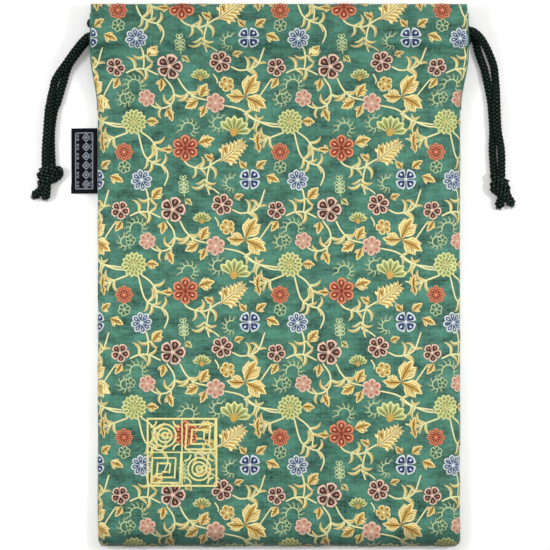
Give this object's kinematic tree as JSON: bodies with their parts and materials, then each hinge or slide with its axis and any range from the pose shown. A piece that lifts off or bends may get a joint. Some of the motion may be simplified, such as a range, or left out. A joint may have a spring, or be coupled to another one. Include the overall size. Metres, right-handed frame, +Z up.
{
  "type": "drawstring gift pouch",
  "caption": "Flat lined brocade gift pouch with side slits, a cord casing at the mouth, two braided drawcords with knotted ends, a woven side label and a gold seal.",
  "frame": {"origin": "middle of the footprint of the pouch, its label and the turns of its cords, on the surface that its back lies on", "axes": "+X across the pouch to the right, +Y from the bottom fold towards the mouth, +Z up out of the front panel"},
  "size_m": [0.27, 0.2976, 0.0142],
  "materials": {
    "brocade": "woven satin with coloured and gold figure",
    "lining": "plain satin",
    "cord": "braided, matt",
    "label": "damask woven tape",
    "thread": "spun thread",
    "gold_foil": "metallic foil print"
  },
  "bodies": {
    "pouch": {"back_panel": "brocade", "back_hem": "brocade", "back_lining": "lining", "front_panel": "brocade", "front_lining": "lining", "left_seam_thread": "thread", "right_seam_thread": "thread", "bottom_seam_thread": "thread", "back_casing_stitches": "thread", "gold_seal": "gold_foil"},
    "front_mouth": {"front_lip": "brocade", "front_hem": "brocade", "front_lip_lining": "lining", "front_casing_stitches": "thread"},
    "label": {"woven_label": "label"},
    "right_cord": {"right_back_run": "cord", "right_turn": "cord", "right_front_strand": "cord", "right_back_strand": "cord"},
    "right_cord_front": {"right_front_run": "cord"},
    "right_cord_end": {"right_front_end": "cord", "right_back_end": "cord", "right_knot": "cord", "right_cut_ends": "cord"},
    "left_cord": {"left_back_run": "cord", "left_turn": "cord", "left_front_strand": "cord", "left_back_strand": "cord"},
    "left_cord_front": {"left_front_run": "cord"},
    "left_cord_end": {"left_front_end": "cord", "left_back_end": "cord", "left_knot": "cord", "left_cut_ends": "cord"}
  },
  "joints": [
    {"name": "mouth_opens", "type": "hinge", "parent": "pouch", "child": "front_mouth", "pos_m": [0.00474, 0.09145, 0.0118], "axis": [1, 0, 0], "range_deg": [0, 45]},
    {"name": "label_lifts", "type": "hinge", "parent": "pouch", "child": "label", "pos_m": [-0.09541, 0.0633, 0.0045], "axis": [0, 1, 0], "range_deg": [0, 90]},
    {"name": "right_cord_pulls", "type": "slide", "parent": "pouch", "child": "right_cord", "axis": [1, 0, 0], "range_m": [0, 0.003]},
    {"name": "right_cord_opens_with_mouth", "type": "hinge", "parent": "right_cord", "child": "right_cord_front", "pos_m": [0.00474, 0.09145, 0.0118], "axis": [1, 0, 0], "range_deg": [0, 45]},
    {"name": "right_cord_end_swings", "type": "hinge", "parent": "right_cord", "child": "right_cord_end", "pos_m": [0.12224, 0.10475, 0.0021], "axis": [0, 0, 1], "range_deg": [-12, 30]},
    {"name": "left_cord_pulls", "type": "slide", "parent": "pouch", "child": "left_cord", "axis": [-1, 0, 0], "range_m": [0, 0.003]},
    {"name": "left_cord_opens_with_mouth", "type": "hinge", "parent": "left_cord", "child": "left_cord_front", "pos_m": [0.00474, 0.09145, 0.0118], "axis": [1, 0, 0], "range_deg": [0, 45]},
    {"name": "left_cord_end_swings", "type": "hinge", "parent": "left_cord", "child": "left_cord_end", "pos_m": [-0.11786, 0.10175, 0.0021], "axis": [0, 0, 1], "range_deg": [-30, 3]}
  ],
  "couplings": [
    {"joint": "right_cord_opens_with_mouth", "follows": "mouth_opens", "ratio": 1},
    {"joint": "left_cord_opens_with_mouth", "follows": "mouth_opens", "ratio": 1}
  ]
}
